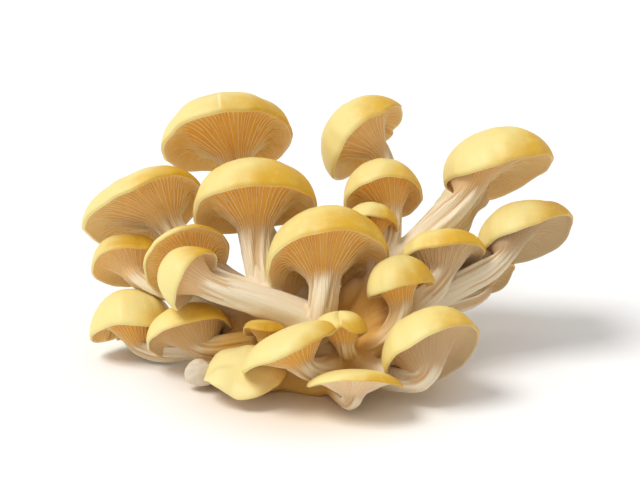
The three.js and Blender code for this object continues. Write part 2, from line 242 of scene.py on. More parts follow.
def fleshMaterial():
    # yellow skin on the dome, a pale thin margin, amber gills with cream crests, and a cream fibrous stem,
    # each mixed from pale to deep by noise and marks, then laid over each other by the marks
    p = Paint("mushroomFlesh")
    skin, rim, under = p.mark("skin"), p.mark("rim"), p.mark("under")
    blade, radial, toneAndShade, stemDown = p.mark("blade"), p.mark("radial"), p.mark("toneAndShade"), p.mark("stemDown")
    lay = p.node("ShaderNodeAttribute", {"attribute_name": "lay"}, output="Vector")
    place = p.node("ShaderNodeTexCoord", output="Object")

    cloud = p.noise(place, flesh["cloudScale"], 4.0)
    speck = p.noise(place, flesh["speckScale"])
    fine = p.noise(place, flesh["fineScale"])
    streak = p.noise(p.stretched(lay, flesh["streakStretch"]), 1.0)
    fibre = p.noise(p.stretched(lay, flesh["fibreStretch"]), 1.0, 4.0, 0.65)
    # the cap's right is the side away from the sun; the skin below is painted deeper there as shade
    side = p.node("ShaderNodeSeparateXYZ", {}, {0: lay})  # 1 on the cap's right, -1 on its left

    # skin: golder and deeper towards the margin, and towards the right as painted shade away from the sun,
    # with pale specks
    gold = p.range(cloud + side * radial * 0.3 + streak * 0.15 + toneAndShade * 0.4, 0.42, 1.0)
    top = p.mix(gold, flesh["skinPale"], flesh["skinGold"])
    deep = p.range(radial + side * 0.3 + cloud * 0.3 + toneAndShade * 0.25, 0.97, 1.35) * 0.85
    top = p.mix(deep, top, flesh["skinDeep"])
    top = p.mix(p.range(speck, 0.5, 0.75) * 0.22, top, flesh["skinPale"])
    top = p.mix(p.range(fine, 0.55, 0.8) * 0.12, top, flesh["rimPale"])

    # gills: cream crests over amber valleys that are painted shade, deeper further in under the cap as
    # painted shade, paler towards the margin and the collar
    crest = p.range(blade, 0.1, 0.95)
    gills = p.mix(crest, flesh["valleyShade"], flesh["bladeCrest"])
    gills = p.mix(p.range(cloud, 0.35, 0.8) * 0.35, gills, flesh["collarGold"])
    gills = p.mix(p.range(radial, 0.5, 1.0) * 0.6, gills, flesh["gillEdge"])
    uneven = p.range(streak, 0.35, 0.7, 0.15, 0.75)
    gills = p.mix(p.range(radial, 0.6, 0.05) * crest * uneven, gills, flesh["stemPale"])

    # stem: warm fibres, painted shade in the grooves between its folds, and where the stems grow together
    # amber flesh with painted shade of the recesses
    stalk = p.mix(p.range(fibre, 0.4, 0.75) * 0.6, flesh["stemPale"], flesh["stemWarm"])
    stalk = p.mix(p.range(blade + stemDown * 0.75, 0.75, 0.1) * 0.8, stalk, flesh["grooveShade"])
    warmShade = p.mix(p.range(fibre, 0.45, 0.75) * 0.6, flesh["trunkAmberShade"], flesh["trunkPale"])
    # amber flesh where the stems grow together, with painted shade in the recesses between them
    for spot, reach, core in flesh["amberShadeSpots"]:
        stalk = p.mix(p.range(p.away(place, spot) + cloud * 0.012, reach, core) * 0.9, stalk, warmShade)

    colour = p.mix(skin, p.mix(under, stalk, gills), top)
    colour = p.mix(p.mark("pallor"), colour, flesh["pale"])
    colour = p.mix(rim * 0.85, colour, flesh["rimPale"])
    colour = p.mix(p.mark("shade"), colour, flesh["shade"], "MULTIPLY")

    rough = flesh["underRough"] + skin * (flesh["skinRough"] - flesh["underRough"])
    rough = rough + (fine - 0.5) * flesh["roughSpread"]
    bumps = fine * 0.35 + skin * (streak * 0.5 + speck * 1.6) + (1 - skin) * fibre * 1.6
    bump = p.node("ShaderNodeBump", {}, {
        "Strength": flesh["bumpStrength"], "Distance": flesh["bumpHeight"], "Height": bumps})
    shader = p.node("ShaderNodeBsdfPrincipled", {}, {
        "Base Color": colour, "Roughness": rough, "Normal": bump,
        "Subsurface Weight": flesh["subsurface"], "Subsurface Scale": flesh["subsurfaceReach"],
        "Subsurface Radius": flesh["subsurfaceRadius"],
        "IOR": flesh["ior"], "Specular IOR Level": flesh["gloss"]})
    p.node("ShaderNodeOutputMaterial", {}, {"Surface": shader})
    return p.material


fleshLook = fleshMaterial()
print("materials made")


growth = {  # what all the fruit bodies share, unless a body's own dictionary says otherwise
    "plump": 1.07, "fullness": 2.15, "roundness": 0.53,  # scale of the dome's height, and its two powers
    "shoulder": 0.04,  # height of the widest ring, by the dome
    "lipTuck": 0.035,  # how far the lip turns in below that ring, by the radius
    "edge": 0.3,  # mm between the last row of the gills and the first of the lip
    "hollow": 0.32, "archSkew": 0.8,  # height of the arch over the gills, by the dome, and its power
    "collarDrop": 0.2, "dropRun": 2.2,  # how low the collar hangs, by the radius, and the power it falls by
    "gillLift": 0.35, "lipLift": 0.12,  # mm over the plane of the margin
    "gillCrowd": 1.3,  # power that crowds the rows of the gills towards the margin
    "sway": 0.02,  # radians that the gills swing to each side
    "bladePitch": 1.1,  # mm between two long gills at the collar
    "pitchLimits": (12, 44),  # fewest and most long gills
    "bladeDepth": 0.032,  # height of a gill, by the radius
    "ribRun": 0.95,  # how far down the stem the long gills run as ribs
    "collarSpread": 1.5, "flareSpread": 0.14,  # width of the collar by the neck, and the length of its flare
    "straightOut": 0.35,  # pull straight out of the cap, by the way to the bend
    "ease": 0.0,  # 0 leaves the cap along its axis, 1 straight towards the bend
    "fluting": 0.08, "twist": 0.9,  # depth of the stem's folds by its half width, and radians that they wind
    "sleeve": (0.42, 1.1),  # where the trunk's skin leaves the stem, 1 at the foot, and mm over it
    "crinkle": 0.006, "flutter": 0.01,  # small waves of the margin, out and up, by the radius
    "bumps": 0.012,  # height of the dome's soft lumps, by the dome
    "bumpWaves": 9, "bumpReach": 0.8,  # how many waves make them, and their length by the radius
    "lobes": [], "ripples": [],  # waves of the margin: out, by the radius, and up, in mm
    "notches": [], "sags": [],  # bearing, width, and depth by the radius or drop in mm
    "creases": [], "wings": [],  # bearing, width and mm: folds of the dome, and fins on the stem
    # shade patches are painted shade: darker spots where a dome lies in shade
    "dents": [], "shadePatches": [],  # bearing, place and size by the radius, and depth in mm or share of shade
    "scars": [],  # bearing, and the two ends by the radius
    "scarWidth": 1.1, "scarDepth": 0.25,  # degrees, and mm
    "bare": [],  # bearing and width of smooth flesh without gills
    # the cap's own gold tone, and on caps that sit in shade also painted shade
    "toneAndShade": 0.0,  # golder above 0, paler below
    "pallor": 0.0, "skinPallor": 0.0,  # shares of pale flesh, under the cap and on it
    "shade": 0.0,  # share of shade under the cap
    "stemRows": 18, "gillRows": 24, "lipRows": 7, "domeRows": 17,
}


def capAxes(lean, heading):
    # the cap's axis, leaned from upright towards the heading, then two directions square to it, the first as
    # near +X as it can be
    tilt, way = np.radians([lean, heading])
    axis = np.array([np.sin(tilt) * np.cos(way), np.sin(tilt) * np.sin(way), np.cos(tilt)])
    across = unit(np.array([1.0, 0, 0]) - axis[0] * axis)
    return axis, across, np.cross(axis, across)


def bezier(a, b, c, d, t):  # cubic from a to d, pulled by b and c: the point and the direction at each t
    t = t[:, None]
    point = (1 - t) ** 3 * a + 3 * (1 - t) ** 2 * t * b + 3 * (1 - t) * t ** 2 * c + t ** 3 * d
    return point, unit((1 - t) ** 2 * (b - a) + 2 * (1 - t) * t * (c - b) + t ** 2 * (d - c))


def carried(across, ways):  # a direction slid along a path: at each step its part along the path is taken off
    kept = []
    for way in ways:
        across = unit(across - across @ way * way)
        kept.append(across)
    return np.array(kept)


blades = {
    "unevenness": 0.32,  # spread of the gaps between long gills, by a gap
    "profile": [1.0, 0.42, 0.0],  # height on a crest and one and two columns away
    "half": (0.42, 0.78), "short": (0.12, 0.42),  # how far in from the margin, where the collar is 1
    "long": 9.0,  # past the collar
}


def bladeColumns(rng, pitches):
    # 16 columns to each long gill: its crest on column 0, a half-length gill on 8, short ones on 4 and 12.
    # The angle runs evenly between long gills that are unevenly spaced.
    edges = np.concatenate([[0], np.cumsum(1 + blades["unevenness"] * rng.uniform(-1, 1, pitches))])
    column = np.arange(16 * pitches)
    angle = np.interp(column / 16, np.arange(pitches + 1), edges / edges[-1] * 2 * np.pi)
    crest = (np.round(column % 16 / 4) * 4).astype(int)
    profile = np.array(blades["profile"])[np.abs(column % 16 - crest)]
    half = rng.uniform(*blades["half"], pitches)
    short = rng.uniform(*blades["short"], (pitches, 2))
    pitch = column // 16
    reach = np.where(crest == 8, half[pitch], short[pitch, (crest > 8).astype(int)])
    return angle, profile, np.where(crest % 16 == 0, blades["long"], reach)


stems = []  # each stem's path, half widths and sleeve, for the trunk
layRun = 3  # how far the lay runs down a stem, where 1 is from the collar to the margin


def growBody(spec):
    # A turned surface on a grid: rows run from the foot up the stem, out along the gills, round the lip
    # and over the dome; columns run round the cap.
    g = {**growth, **spec}
    rng = np.random.default_rng(g["seed"])
    axis, across, along = capAxes(g["lean"], g["heading"])
    cap, radius, dome = np.array(g["cap"], float), g["radius"], g["dome"] * g["plump"]
    neck, footWide = g["stem"]
    collar = neck * g["collarSpread"]
    pitches = int(np.clip(round(2 * np.pi * collar / g["bladePitch"]), *g["pitchLimits"]))
    angle, profile, bladeReach = bladeColumns(rng, pitches)
    phase = rng.uniform(0, 360, 8)

    # margin: a circle with lobes, crinkles and notches; its height ripples, flutters and sags
    crinkle = waved([(7, 1, phase[0]), (11, 1, phase[1]), (17, 0.6, phase[2])], angle) * g["crinkle"]
    torn = 1 - sum(depth * near(angle, bearing, width) for bearing, width, depth in g["notches"])
    margin = radius * (waved(g["lobes"], angle, 1) + crinkle) * torn
    flutter = waved([(5, 1, phase[3]), (9, 0.6, phase[4])], angle) * g["flutter"] * radius
    sag = sum(drop * near(angle, bearing, width) for bearing, width, drop in g["sags"])
    rise = waved(g["ripples"], angle) + flutter - sag

    def onCap(centre, wide, height, turn=angle):  # rings wide round a centre, each moved height up the axis
        outwards = np.cos(turn)[..., None] * across + np.sin(turn)[..., None] * along
        return centre + wide[..., None] * outwards + height[..., None] * axis

    # stem: a tube round a cubic that leaves the cap straight and bends into the base, flared under the cap
    over, back = g["stemAt"]
    start = cap + radius * (over * across + back * along - g["collarDrop"] * axis)
    bend, foot = np.array(g["bend"], float), np.array(g["foot"], float)
    leave = unit(blend(-axis, unit(bend - start), g["ease"]))
    pull = start + g["straightOut"] * np.linalg.norm(start - bend) * leave
    down = np.linspace(0, 1, g["stemRows"] + 1)[1:]
    centre, way = bezier(start, pull, bend, foot, down)
    sideA = carried(across, -way)
    settled = smooth(0, 0.4, down)[:, None]  # rings turn from the cap's plane to the stem's
    sideB = blend(along, np.cross(-way, sideA), settled)
    sideA = blend(across, sideA, settled)
    slim = blend(neck, footWide, down) + (collar - neck) * np.exp(-down / g["flareSpread"])
    twisted = angle + g["twist"] * down[:, None]
    folds = waved([(2, 0.8, phase[5]), (3, 0.8, phase[6]), (5, 0.8, phase[7]),
                   (9, 0.7, phase[1]), (14, 0.45, phase[2])], twisted)
    tube = slim[:, None] * (1 + g["fluting"] * folds * smooth(0, 0.25, down)[:, None])
    for bearing, width, size in g["wings"]:  # a ruffled fin along the top of the stem
        run = smooth(0.02, 0.1, down) * (1 - smooth(0.3, 0.5, down)) * (0.75 + 0.25 * np.cos(40 * down))
        tube = tube + size * run[:, None] * near(angle, bearing, width)
    rings = np.cos(angle)[:, None] * sideA[:, None] + np.sin(angle)[:, None] * sideB[:, None]
    stem = (centre[:, None] + tube[..., None] * rings)[::-1]
    folds = folds[::-1]
    down = down[::-1, None]

    # gills: from the collar, where inward is 1, out to the margin, where it is 0, under an arched ceiling
    inward = (1 - np.linspace(0, 1, g["gillRows"])[:, None]) ** g["gillCrowd"]
    inner = (1 - g["lipTuck"]) * margin - 1.5 * g["edge"]
    sway = angle + g["sway"] * np.sin(np.pi * inward) * np.sin(3 * angle + phase[0])
    arch = g["hollow"] * dome * np.sin(np.pi * inward ** g["archSkew"])
    drop = g["collarDrop"] * radius * inward ** g["dropRun"]
    height = arch - drop + g["gillLift"] + rise * (1 - inward) ** 2
    middle = blend(cap, start + axis * drop, inward)[:, None]
    gills = onCap(middle, blend(inner, collar, inward), height, sway)

    # lip: under the thin margin, round it, and up a quarter turn to the widest ring
    quarter = np.linspace(0, np.pi / 2, g["lipRows"])[:, None]
    lipWide = np.concatenate([inner[None] + g["edge"], (1 - g["lipTuck"] * np.cos(quarter)) * margin])
    lipHigh = np.concatenate([rise[None] + g["lipLift"], g["shoulder"] * dome * (1 - np.cos(quarter)) + rise])
    lip = onCap(cap, lipWide, lipHigh)

    # dome: a full ellipse from the widest ring to the crown, with soft lumps
    reach = np.cos(np.linspace(0, np.pi / 2, g["domeRows"] + 1)[1:-1])[:, None]
    bulge = (1 - reach ** g["fullness"]) ** g["roundness"]
    acrossCap, alongCap = reach * radius * np.cos(angle), reach * radius * np.sin(angle)
    bumpy = lumps(rng, g["bumpWaves"], radius * g["bumpReach"], acrossCap, alongCap)
    high = dome * (g["shoulder"] + (1 - g["shoulder"]) * bulge) + rise * reach ** 2
    high = high + bumpy * dome * g["bumps"] * smooth(0, 0.5, bulge)

    def spot(bearing, out, size):  # a bell over the dome: e to minus the square of sizes away
        x, y = out * radius * np.cos(np.radians(bearing)), out * radius * np.sin(np.radians(bearing))
        return np.exp(-((acrossCap - x) ** 2 + (alongCap - y) ** 2) / (size * radius) ** 2)

    high = high - sum(deep * spot(*place) for *place, deep in g["dents"])  # soft round hollows
    # painted shade: darker spots on the dome, added below to the shade mark
    patchShade = sum(share * spot(*place) for *place, share in g["shadePatches"]) + 0 * high
    for bearing, width, deep in g["creases"]:  # folds that run from the margin to the crown
        high = high - deep * near(angle, bearing, width) * np.sin(np.pi * reach ** 1.5)
    scar = np.zeros(high.shape)
    for bearing, low, far in g["scars"]:  # thin pale scratches
        ends = smooth(low, low + 0.05, reach) * (1 - smooth(far, far + 0.04, reach))
        scar = scar + near(angle, bearing, g["scarWidth"]) * ends
    top = onCap(cap, reach * margin, high - g["scarDepth"] * scar)

    grid = np.concatenate([stem, gills, lip, top])
    rows, columns = grid.shape[:2]
    gillStart, lipStart, topStart = np.cumsum([len(stem), len(gills), len(lip)])

    # blades stand out from the gill ceiling; the long ones run on down the stem as fading ribs
    outward = unit(np.cross(np.roll(grid, -1, 1) - np.roll(grid, 1, 1), np.gradient(grid, axis=0)))
    tall = np.zeros((rows, columns))
    tall[gillStart:lipStart] = profile * smooth(0, 0.12, bladeReach - inward)
    tall[:gillStart] = profile * (bladeReach > 1) * (1 - smooth(0.05, g["ribRun"], down))
    depth = np.zeros((rows, 1))
    deeper = (0.4 + 0.6 * smooth(0.1, 0.5, inward)) * blend(1, 0.7, inward)
    depth[gillStart:lipStart] = smooth(0, 0.12, inward) * deeper
    depth[:gillStart] = 0.7 * (0.3 + 0.7 * np.exp(-down / 0.22))
    bare = np.zeros((rows, columns))  # smooth flesh where the stem meets the margin, fading down the stem
    for bearing, width in g["bare"]:
        bare = bare + near(angle, bearing, width)
    bare[:gillStart] *= np.exp(-down / 0.2)
    tall = tall * (1 - bare)
    grid = grid + outward * (g["bladeDepth"] * radius * depth * tall)[..., None]

    # marks for the material, one value at each point
    crest = tall.copy()  # the gills' crests, and down the stem more and more the crests of its folds
    foldCrest = np.clip(0.5 + 0.4 * folds, 0, 1)
    crest[:gillStart] = blend(tall[:gillStart], foldCrest, 0.7 * smooth(0, 0.3, down))

    def rowMark(values):  # one value for each row, given as (first row, values) runs
        column = np.zeros((rows, 1))
        for first, run in values:
            run = np.reshape(run, (-1, 1))
            column[first:first + len(run)] = run
        return column + np.zeros((rows, columns))

    lipShare = np.linspace(0, 1, len(lip))
    skin = rowMark([(lipStart, smooth(0.05, 0.3, lipShare)), (topStart, np.ones(len(top)))])
    rim = rowMark([(lipStart - 1, [0.3, 0.8, 0.9, 0.5, 0.2])])  # a pale line round the lip
    rim[topStart:] = 0.8 * scar
    under = rowMark([(0, 1 - smooth(0, 0.16, down)), (gillStart, np.ones(len(gills)))]) * (1 - bare)
    below = (1 - skin) * rowMark([(0, 1 - smooth(0, 0.25, down)), (gillStart, np.ones(rows - gillStart))])
    shade = g["shade"] * below
    shade[topStart:] += patchShade
    radial = rowMark([(gillStart, 1 - inward), (lipStart, np.ones(len(lip))), (topStart, reach)])
    stemDown = rowMark([(0, down)])
    length = rowMark([(0, -layRun * down), (gillStart, -inward), (lipStart, np.ones(len(lip))),
                      (topStart, 2 - reach)])
    lay = np.stack([np.cos(angle) + 0 * length, np.sin(angle) + 0 * length, length], -1)
    marks = {"skin": skin, "rim": rim, "under": under, "radial": radial, "stemDown": stemDown,
             "blade": crest, "toneAndShade": np.full((rows, columns), g["toneAndShade"]),
             "pallor": g["pallor"] * below + g["skinPallor"] * skin,
             "shade": shade, "lay": lay}

    points = withEnds(grid)
    points[:, 2] = np.maximum(points[:, 2], 0.02)  # what touches the surface lies flat on it
    name = g["node"].replace("mushroom", "body")
    piece = makePiece(name, points, gridFaces(rows, columns), endFaces(rows, columns))
    setMarks(piece.data, {label: withEnds(values) for label, values in marks.items()})
    finishPiece(piece, g["node"])
    stems.append({"path": (start, pull, bend, foot), "wide": (neck, footWide), "sleeve": g["sleeve"]})


# Each body: cap is the middle of its margin, in mm; lean and heading turn its axis, in degrees; radius and
# dome are its half width and height. The stem starts at stemAt of the radius across and along the cap, has
# the two half widths of stem at its neck and foot, and is drawn towards bend on its way to foot. Bearings
# round a cap are in degrees from its right, by way of its back.
topLeft = {
    "node": "mushroom_top_left", "seed": 1,
    "cap": [-33, 49.5, 72.5], "lean": 43, "heading": 102, "radius": 26, "dome": 16,
    "lobes": [(2, 0.03, 200), (3, 0.02, 40)], "ripples": [(2, 1, 160), (3, 0.8, 60)],
    "sags": [(225, 35, 2)],
    "stemAt": [0.1, 0.05], "stem": [4.4, 4], "bend": [-19.5, 37, 40], "foot": [0, 4, 20],
    "scars": [(268, 0.72, 0.97)], "dents": [(318, 0.86, 0.1, 1.2)],
}
growBody(topLeft)

farLeft = {
    "node": "mushroom_far_left", "seed": 2,
    "cap": [-63, 32, 50], "lean": 51, "heading": 116, "radius": 23, "dome": 12.5,
    "lobes": [(2, 0.03, 30), (3, 0.02, 200)], "ripples": [(2, 1.2, 20), (3, 0.6, 180)],
    "stemAt": [0.25, 0], "stem": [4.6, 4.6], "bend": [-36.5, 18.5, 29], "foot": [-6, 2, 18],
    "pallor": 0.1, "toneAndShade": 0.05,
}
growBody(farLeft)

centreLeft = {
    "node": "mushroom_centre_left", "seed": 3,
    "cap": [-21.5, 17, 55.5], "lean": 40, "heading": 99, "radius": 23, "dome": 17.5,
    "lobes": [(2, 0.02, 90), (3, 0.02, 10)], "ripples": [(2, 0.8, 200), (3, 0.6, 90)],
    "stemAt": [0, 0.05], "stem": [4.8, 5], "bend": [-20, -2, 27], "foot": [-7, -4, 14],
    "sleeve": (0.4, 2.2), "toneAndShade": 0.35,
}
growBody(centreLeft)

centre = {
    "node": "mushroom_centre", "seed": 4,
    "cap": [6, -2, 42], "lean": 48, "heading": 97, "radius": 22, "dome": 18.5,
    "lobes": [(2, 0.02, 0), (3, 0.02, 150)], "ripples": [(2, 1, 180)], "sags": [(150, 38, 5)],
    "stemAt": [-0.1, 0.05], "stem": [5, 5.6], "bend": [1.5, -13.5, 21], "foot": [6, -6, 12],
    "collarSpread": 1.3, "toneAndShade": 0.4,
}
growBody(centre)

topTorn = {
    "node": "mushroom_top_torn", "seed": 5,
    "cap": [21.5, 46, 73.5], "lean": 59, "heading": 141, "radius": 18.5, "dome": 16.5,
    "lobes": [(2, 0.03, 60)], "ripples": [(3, 0.8, 0)],
    "notches": [(55, 24, 0.3), (22, 5, 0.14), (44, 6, 0.16), (66, 5, 0.2), (84, 7, 0.22)],
    "stemAt": [0.05, 0.05], "stem": [3.2, 4], "bend": [32.5, 27.5, 43], "foot": [12, 2, 20],
    "collarSpread": 1.35, "pallor": 0.2,
}
growBody(topTorn)

upperCentre = {
    "node": "mushroom_upper_centre", "seed": 6,
    "cap": [26.5, 27.5, 56], "lean": 50, "heading": 100, "radius": 15.5, "dome": 15,
    "lobes": [(2, 0.03, 180), (3, 0.02, 80)], "ripples": [(2, 0.8, 150)],
    "stemAt": [0.1, 0], "stem": [3.6, 4], "bend": [32.5, 14, 39.5], "foot": [14, -2, 18],
    "scars": [(318, 0.6, 0.8)],
}
growBody(upperCentre)

smallMiddle = {
    "node": "mushroom_small_middle", "seed": 7,
    "cap": [21.5, 15, 50], "lean": 41, "heading": 79, "radius": 10, "dome": 8.5,
    "lobes": [(3, 0.03, 0)], "ripples": [(2, 0.6, 90)],
    "stemAt": [0.1, 0], "stem": [2.4, 2.8], "bend": [28, 7.5, 39], "foot": [15, -3, 20],
}
growBody(smallMiddle)

upperRight = {
    "node": "mushroom_upper_right", "seed": 8,
    "cap": [71, 34, 63.5], "lean": 38, "heading": 112, "radius": 20.5, "dome": 17.5,
    "lobes": [(2, 0.03, 10), (3, 0.03, 120)], "ripples": [(2, 1.2, 0), (3, 0.5, 200)],
    "stemAt": [-0.6, -0.22], "stem": [5.6, 6.2], "bend": [38.5, 20, 44.5], "foot": [16, 0, 18],
    "ease": 0.6, "straightOut": 0.3, "collarSpread": 1.2, "flareSpread": 0.1, "collarDrop": 0.12,
    "pallor": 0.15, "bare": [(200, 60)], "wings": [(45, 24, 3.5)],
}
growBody(upperRight)

backRight = {
    "node": "mushroom_back_right", "seed": 9,
    "cap": [57, 45, 47], "lean": 36, "heading": 205, "radius": 12.5, "dome": 8,
    "lobes": [(3, 0.05, 40)], "ripples": [(3, 1, 120), (7, 0.5, 0)],
    "stemAt": [0, 0], "stem": [3, 3.4], "bend": [45, 28, 35], "foot": [20, 6, 14],
    "pallor": 0.4, "skinPallor": 0.55,
}
growBody(backRight)

farRight = {
    "node": "mushroom_far_right", "seed": 10,
    "cap": [80.5, 17.5, 43.4], "lean": 47, "heading": 118, "radius": 18.5, "dome": 15,
    "lobes": [(2, 0.03, 0), (3, 0.02, 220)], "ripples": [(2, 1, 20), (3, 0.5, 60)],
    "stemAt": [-0.5, -0.3], "stem": [4.8, 4.6], "bend": [51.5, 6, 29.5], "foot": [18, -3, 14],
    "ease": 0.6, "straightOut": 0.3, "collarSpread": 1.25, "flareSpread": 0.1, "collarDrop": 0.12,
    "pallor": 0.4, "bare": [(210, 60)], "shade": 0.6, "dents": [(325, 0.55, 0.4, 2.4)],
    "shadePatches": [(325, 0.6, 0.35, 0.7), (290, 0.45, 0.7, 0.25)],
}
growBody(farRight)

underRight = {
    "node": "mushroom_under_right", "seed": 11,
    "cap": [66, 24.5, 25.5], "lean": 48, "heading": 114, "radius": 12, "dome": 6.5,
    "lobes": [(2, 0.05, 180), (3, 0.05, 90)], "ripples": [(3, 0.8, 20)], "notches": [(200, 9, 0.3)],
    "stemAt": [-0.2, 0], "stem": [2.6, 2.8], "bend": [50, 13.5, 20], "foot": [18, 0, 12],
    "pallor": 0.2, "shade": 0.5,
}
growBody(underRight)

right = {
    "node": "mushroom_right", "seed": 12,
    "cap": [47.5, 3.5, 40.5], "lean": 45, "heading": 100, "radius": 15.5, "dome": 10.5,
    "lobes": [(2, 0.03, 20), (3, 0.02, 0)], "ripples": [(2, 0.8, 10)],
    "stemAt": [-0.1, 0.05], "stem": [4.8, 4.6], "bend": [40.5, -4.5, 28.5], "foot": [17, -6, 15],
    "pallor": 0.4, "shade": 0.3, "toneAndShade": 0.45,
}
growBody(right)

smallRight = {
    "node": "mushroom_small_right", "seed": 13,
    "cap": [32, -13, 35], "lean": 29, "heading": 116, "radius": 12, "dome": 12,
    "lobes": [(2, 0.03, 0)], "ripples": [(2, 0.2, 120)],
    "stemAt": [-0.1, 0.05], "stem": [3.8, 4], "bend": [30, -19, 16.5], "foot": [14, -9, 9],
    "bladeDepth": 0.02, "collarSpread": 1.3, "shadePatches": [(280, 0.6, 0.7, 0.2)],
}
growBody(smallRight)

tinyRight = {
    "node": "mushroom_tiny_right", "seed": 14,
    "cap": [38, -15, 24.5], "lean": 30, "heading": 60, "radius": 4.5, "dome": 3,
    "stemAt": [0, 0], "stem": [1.8, 2.2], "bend": [34.5, -13.5, 20], "foot": [18, -8, 12],
}
growBody(tinyRight)

lowerRight = {
    "node": "mushroom_lower_right", "seed": 15,
    "cap": [42.5, -32.5, 17.5], "lean": 56, "heading": 115, "radius": 17.5, "dome": 16,
    "lobes": [(2, 0.03, 40), (3, 0.02, 100)], "ripples": [(2, 0.8, 60)],
    "stemAt": [-0.2, 0.05], "stem": [4.2, 4.4], "bend": [33.5, -34.5, 6.5], "foot": [12, -14, 8],
    "bladeDepth": 0.012, "pallor": 0.4, "shade": 0.45, "toneAndShade": -0.35,
}
growBody(lowerRight)

frontSmall = {
    "node": "mushroom_front_small", "seed": 16,
    "cap": [15, -43, 11.5], "lean": 23, "heading": 90, "radius": 16, "dome": 5,
    "lobes": [(2, 0.03, 0), (3, 0.03, 90)], "ripples": [(2, 1, 180)],
    "stemAt": [-0.05, 0], "stem": [3.2, 3.4], "bend": [12.5, -46, 3.5], "foot": [6, -16, 5],
    "pallor": 0.5,
}
growBody(frontSmall)

frontLong = {
    "node": "mushroom_front_long", "seed": 17,
    "cap": [-7, -33, 18], "lean": 37, "heading": 134, "radius": 17.5, "dome": 9,
    "lobes": [(2, 0.05, 0), (3, 0.02, 30)], "ripples": [(2, 1.2, 0)],
    "stemAt": [0.1, -0.1], "stem": [3.6, 4], "bend": [6.5, -31.5, 10.5], "foot": [10, -12, 9],
    "bladeDepth": 0.02, "toneAndShade": -0.4,
}
growBody(frontLong)

frontFolded = {
    "node": "mushroom_front_folded", "seed": 18,
    "cap": [10, -25.5, 22.4], "lean": 27, "heading": 98, "radius": 9.8, "dome": 8.5,
    "ripples": [(2, 0.8, 0)], "sags": [(272, 16, -3)], "creases": [(272, 17, 2.6)],
    "stemAt": [0.1, 0], "stem": [2.8, 3.2], "bend": [14, -24, 14.5], "foot": [12, -12, 10],
    "scars": [(272, 0.3, 0.97)],
}
growBody(frontFolded)

frontFlat = {
    "node": "mushroom_front_flat", "seed": 19,
    "cap": [-23.5, -27.5, 9.5], "lean": 15, "heading": -106, "radius": 14.5, "dome": 4,
    "lobes": [(2, 0.04, 60), (5, 0.03, 60)], "ripples": [(3, 1.4, 60), (5, 0.6, 0)],
    "stemAt": [0, 0], "stem": [3.2, 3.6], "bend": [-12, -23, 3.5], "foot": [-4, -12, 5],
    "dents": [(300, 0.5, 0.35, 1), (200, 0.6, 0.2, -0.8)], "skinPallor": 0.1, "pallor": 0.6,
    "toneAndShade": -0.4,
}
growBody(frontFlat)

floorButton = {
    "node": "mushroom_floor_button", "seed": 20,
    "cap": [-40, -19, 5.5], "lean": 48, "heading": 262, "radius": 5.2, "dome": 6.5,
    "lobes": [(2, 0.08, 30), (3, 0.06, 100)], "bumps": 0.07,
    "stemAt": [0, 0], "stem": [2.4, 2.6], "bend": [-31.5, -16, 4], "foot": [-14, -8, 4],
    "pallor": 0.85, "skinPallor": 0.95, "shade": 0.5, "shadePatches": [(90, 0.2, 1.4, 0.45)],
}
growBody(floorButton)

lowLeft = {
    "node": "mushroom_low_left", "seed": 21,
    "cap": [-67, 9, 10], "lean": 34, "heading": 102, "radius": 15.5, "dome": 16,
    "lobes": [(2, 0.02, 0), (4, 0.02, 0)], "ripples": [(3, 0.8, 0)],
    "notches": [(112, 6, 0.2), (128, 5, 0.3), (146, 7, 0.16)],
    "stemAt": [0.15, 0], "stem": [3.6, 3.8], "bend": [-45, 3, 8], "foot": [-12, -2, 8], "toneAndShade": -0.5,
}
growBody(lowLeft)

lowLeftFront = {
    "node": "mushroom_low_left_front", "seed": 22,
    "cap": [-44.5, -5.5, 13.5], "lean": 49, "heading": 108, "radius": 15.5, "dome": 12,
    "lobes": [(2, 0.03, 40)], "ripples": [(2, 0.8, 20)],
    "stemAt": [0.2, 0], "stem": [4.2, 4.6], "bend": [-22.5, -4, 16.5], "foot": [-6, -6, 12],
    "bladeDepth": 0.018, "pallor": 0.2, "toneAndShade": 0.3, "shade": 0.4, "shadePatches": [(305, 0.5, 0.35, 0.4)],
}
growBody(lowLeftFront)

leftOpen = {
    "node": "mushroom_left_open", "seed": 23,
    "cap": [-46, 7.5, 39], "lean": 72, "heading": 110, "radius": 16, "dome": 8,
    "lobes": [(2, 0.04, 60), (3, 0.02, 0)], "ripples": [(2, 0.6, 0)],
    "stemAt": [0.1, 0], "stem": [3.8, 4.8], "bend": [-26.5, 0.5, 31.5], "foot": [-5, -2, 20],
    "sleeve": (0.3, 2),
}
growBody(leftOpen)

leftCurled = {
    "node": "mushroom_left_curled", "seed": 24,
    "cap": [-42, -10, 37.5], "lean": 68, "heading": 150, "radius": 12, "dome": 13,
    "lobes": [(2, 0.04, 20)], "ripples": [(2, 1, 180)],
    "stemAt": [0.1, 0], "stem": [4, 5.2], "bend": [-23, -8.5, 32.5], "foot": [-1, -7, 21],
    "bladeDepth": 0.015, "pallor": 0.35, "collarSpread": 1.3, "sleeve": (0.3, 2),
}
growBody(leftCurled)

# its deep gold tone and shade patches are painted shade cast on it by farLeft's cap
leftMid = {
    "node": "mushroom_left_mid", "seed": 25,
    "cap": [-69, 20, 32.5], "lean": 55, "heading": 102, "radius": 13.5, "dome": 12,
    "lobes": [(2, 0.03, 0), (3, 0.02, 60)], "ripples": [(3, 0.6, 0)],
    "stemAt": [0.15, 0], "stem": [3.2, 3.4], "bend": [-42, 13.5, 24], "foot": [-8, 0, 14],
    "bladeDepth": 0.02, "pallor": 0.2, "toneAndShade": 0.5, "shadePatches": [(285, 0.6, 0.7, 0.4)],
}
growBody(leftMid)

